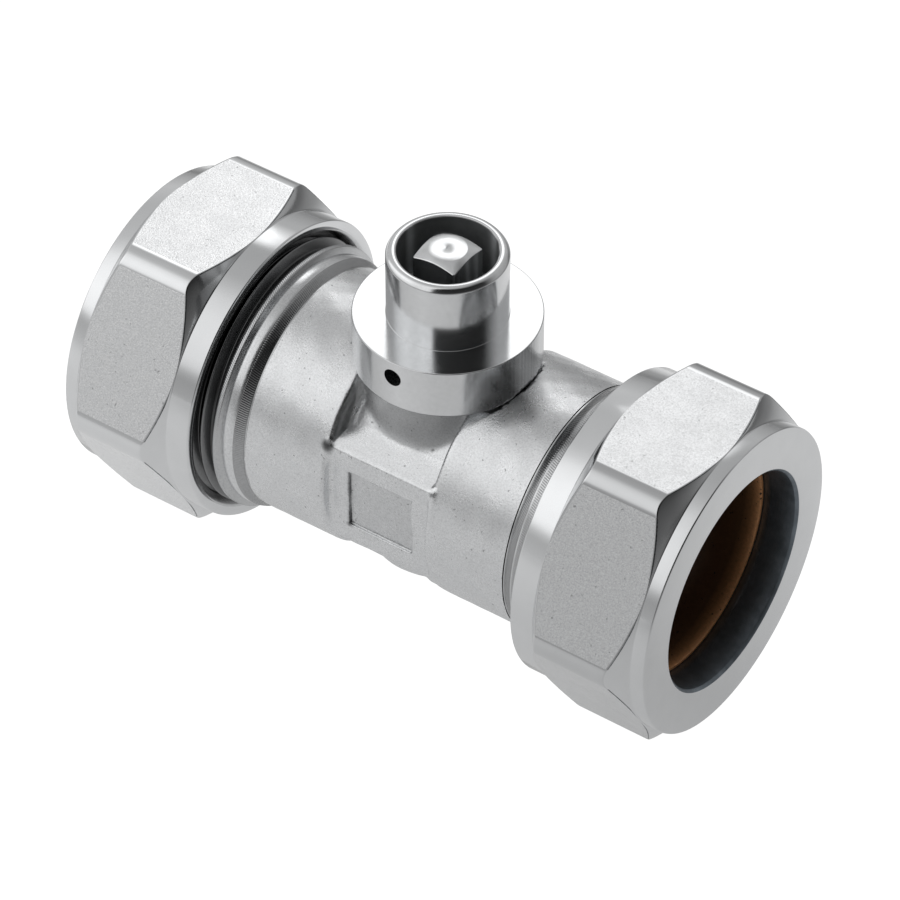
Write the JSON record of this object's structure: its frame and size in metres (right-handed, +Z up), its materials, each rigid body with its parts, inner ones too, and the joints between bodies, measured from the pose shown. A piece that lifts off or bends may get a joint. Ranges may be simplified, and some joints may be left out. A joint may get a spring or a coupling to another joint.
{
  "type": "vented compression coupling",
  "caption": "Straight compression coupling for copper pipe with a hexagon nut and olive at each end and a manual air vent with a square bleed spindle on top.",
  "frame": {"origin": "on the floor under the middle of the overall length, on the pipe's axis in plan", "axes": "+X along the pipe, towards the end with the tighter nut; +Z up, towards the vent; the air outlet faces -Y"},
  "size_m": [0.068, 0.0362, 0.0415],
  "materials": {
    "forged_body": "satin nickel plate",
    "nut": "satin flats, polished edges",
    "turned_housing": "polished",
    "spindle": "turned",
    "olive": "plain",
    "washer": "matte",
    "seal": "matte"
  },
  "bodies": {
    "root": {"body": "forged_body", "vent_housing": "turned_housing", "housing_washer": "washer"},
    "right_olive": {"olive_right": "olive"},
    "right_nut": {"nut_right": "nut"},
    "left_olive": {"olive_left": "olive"},
    "left_nut": {"nut_left": "nut"},
    "spindle_ring": {"spindle_seal_ring": "seal"},
    "spindle": {"bleed_spindle": "spindle"}
  },
  "joints": [
    {"name": "right_olive_slide", "type": "slide", "parent": "root", "child": "right_olive", "axis": [1, 0, 0], "range_m": [-0.0004, 0.0034]},
    {"name": "right_nut_turn", "type": "hinge", "parent": "right_olive", "child": "right_nut", "pos_m": [0.0009, 0, 0.016], "axis": [1, 0, 0], "range_deg": [-96, 816]},
    {"name": "left_olive_slide", "type": "slide", "parent": "root", "child": "left_olive", "axis": [-1, 0, 0], "range_m": [-0.0022, 0.0016]},
    {"name": "left_nut_turn", "type": "hinge", "parent": "left_olive", "child": "left_nut", "pos_m": [0.0009, 0, 0.016], "axis": [-1, 0, 0], "range_deg": [-528, 384]},
    {"name": "spindle_ring_slide", "type": "slide", "parent": "root", "child": "spindle_ring", "axis": [0, 0, 1], "range_m": [0, 0.001]},
    {"name": "spindle_turn", "type": "hinge", "parent": "spindle_ring", "child": "spindle", "pos_m": [0.0009, 0, 0.016], "axis": [0, 0, 1], "range_deg": [0, 360.05]}
  ],
  "couplings": [
    {"joint": "right_olive_slide", "follows": "right_nut_turn", "m_per_rad": 0.00023873},
    {"joint": "left_olive_slide", "follows": "left_nut_turn", "m_per_rad": 0.00023873},
    {"joint": "spindle_turn", "follows": "spindle_ring_slide", "rad_per_m": 6283.2}
  ]
}
